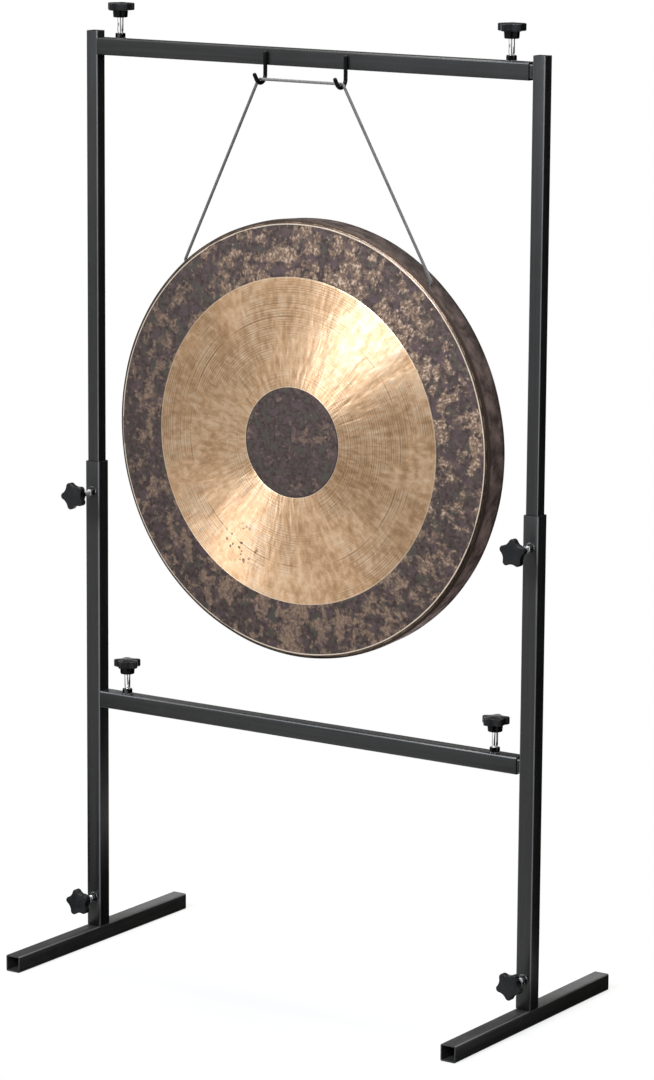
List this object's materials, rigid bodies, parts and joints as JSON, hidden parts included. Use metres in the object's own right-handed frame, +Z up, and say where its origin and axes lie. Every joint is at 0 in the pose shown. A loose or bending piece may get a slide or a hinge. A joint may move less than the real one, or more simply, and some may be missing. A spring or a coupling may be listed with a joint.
{
  "type": "gong stand",
  "caption": "Adjustable floor stand of black square steel tube with clamp knobs, and a bronze gong hung from two hooks on a cord.",
  "frame": {"origin": "on the floor, midway between the two feet", "axes": "+Z up along the uprights, +X along the crossbars to the right leg, and the front of the stand and the gong's face towards -Y"},
  "size_m": [0.8079, 0.43, 1.4353],
  "materials": {
    "black_coat": "satin black powder coat on steel",
    "bright_zinc": "bright zinc plated steel",
    "knob_plastic": "black moulded plastic, fine texture",
    "gong_bronze": "hammered and lathed bronze with a dark patina ring and centre",
    "grey_cord": "twisted grey cord"
  },
  "bodies": {
    "left_leg": {"left_foot": "black_coat", "left_foot_stub": "black_coat", "left_lower_upright": "black_coat", "left_lower_bar_stub": "black_coat", "left_foot_nut": "black_coat", "left_height_nut": "black_coat"},
    "lower_bar": {"lower_crossbar": "black_coat", "lower_left_nut": "black_coat", "lower_right_nut": "black_coat"},
    "right_leg": {"right_foot": "black_coat", "right_foot_stub": "black_coat", "right_lower_upright": "black_coat", "right_lower_bar_stub": "black_coat", "right_foot_nut": "black_coat", "right_height_nut": "black_coat"},
    "left_mast": {"left_upper_upright": "black_coat", "left_top_bar_stub": "black_coat"},
    "top_bar": {"top_crossbar": "black_coat", "top_left_nut": "black_coat", "top_right_nut": "black_coat", "left_hook": "black_coat", "right_hook": "black_coat"},
    "right_mast": {"right_upper_upright": "black_coat", "right_top_bar_stub": "black_coat"},
    "hung_gong": {"gong": "gong_bronze", "gong_cord": "grey_cord", "left_cord_knot": "grey_cord", "right_cord_knot": "grey_cord"},
    "left_foot_clamp": {"left_foot_stud": "bright_zinc", "left_foot_knob": "knob_plastic"},
    "left_height_clamp": {"left_height_stud": "bright_zinc", "left_height_knob": "knob_plastic"},
    "right_foot_clamp": {"right_foot_stud": "bright_zinc", "right_foot_knob": "knob_plastic"},
    "right_height_clamp": {"right_height_stud": "bright_zinc", "right_height_knob": "knob_plastic"},
    "lower_left_clamp": {"lower_left_stud": "bright_zinc", "lower_left_knob": "knob_plastic"},
    "lower_right_clamp": {"lower_right_stud": "bright_zinc", "lower_right_knob": "knob_plastic"},
    "top_left_clamp": {"top_left_stud": "bright_zinc", "top_left_knob": "knob_plastic"},
    "top_right_clamp": {"top_right_stud": "bright_zinc", "top_right_knob": "knob_plastic"}
  },
  "joints": [
    {"name": "lower_bar_slide", "type": "slide", "parent": "left_leg", "child": "lower_bar", "axis": [1, 0, 0], "range_m": [0, 0.04]},
    {"name": "right_leg_slide", "type": "slide", "parent": "lower_bar", "child": "right_leg", "axis": [1, 0, 0], "range_m": [-0.0045, 0.04]},
    {"name": "height_slide", "type": "slide", "parent": "left_leg", "child": "left_mast", "axis": [0, 0, 1], "range_m": [-0.085, 0.155]},
    {"name": "top_bar_slide", "type": "slide", "parent": "left_mast", "child": "top_bar", "axis": [1, 0, 0], "range_m": [0, 0.04]},
    {"name": "right_mast_slide", "type": "slide", "parent": "top_bar", "child": "right_mast", "axis": [1, 0, 0], "range_m": [-0.0045, 0.04]},
    {"name": "gong_swing", "type": "hinge", "parent": "top_bar", "child": "hung_gong", "pos_m": [0, -0.0278, 1.3384], "axis": [1, 0, 0], "range_deg": [-25, 25]},
    {"name": "left_foot_knob_turn", "type": "hinge", "parent": "left_leg", "child": "left_foot_clamp", "pos_m": [-0.3835, -0.0345, 0.07], "axis": [0, -1, 0], "range_deg": [0, 540]},
    {"name": "left_height_knob_turn", "type": "hinge", "parent": "left_leg", "child": "left_height_clamp", "pos_m": [-0.3835, -0.0425, 0.7013], "axis": [0, -1, 0], "range_deg": [0, 540]},
    {"name": "right_foot_knob_turn", "type": "hinge", "parent": "right_leg", "child": "right_foot_clamp", "pos_m": [0.3835, -0.0345, 0.07], "axis": [0, -1, 0], "range_deg": [0, 540]},
    {"name": "right_height_knob_turn", "type": "hinge", "parent": "right_leg", "child": "right_height_clamp", "pos_m": [0.3835, -0.0425, 0.7013], "axis": [0, -1, 0], "range_deg": [0, 540]},
    {"name": "lower_left_knob_turn", "type": "hinge", "parent": "lower_bar", "child": "lower_left_clamp", "pos_m": [-0.3275, 0, 0.426], "axis": [0, 0, 1], "range_deg": [0, 540]},
    {"name": "lower_right_knob_turn", "type": "hinge", "parent": "lower_bar", "child": "lower_right_clamp", "pos_m": [0.323, 0, 0.426], "axis": [0, 0, 1], "range_deg": [0, 540]},
    {"name": "top_left_knob_turn", "type": "hinge", "parent": "top_bar", "child": "top_left_clamp", "pos_m": [-0.338, 0, 1.4133], "axis": [0, 0, 1], "range_deg": [0, 540]},
    {"name": "top_right_knob_turn", "type": "hinge", "parent": "top_bar", "child": "top_right_clamp", "pos_m": [0.3335, 0, 1.4133], "axis": [0, 0, 1], "range_deg": [0, 540]}
  ],
  "couplings": [
    {"joint": "top_bar_slide", "follows": "lower_bar_slide", "ratio": 1},
    {"joint": "right_mast_slide", "follows": "right_leg_slide", "ratio": 1}
  ]
}
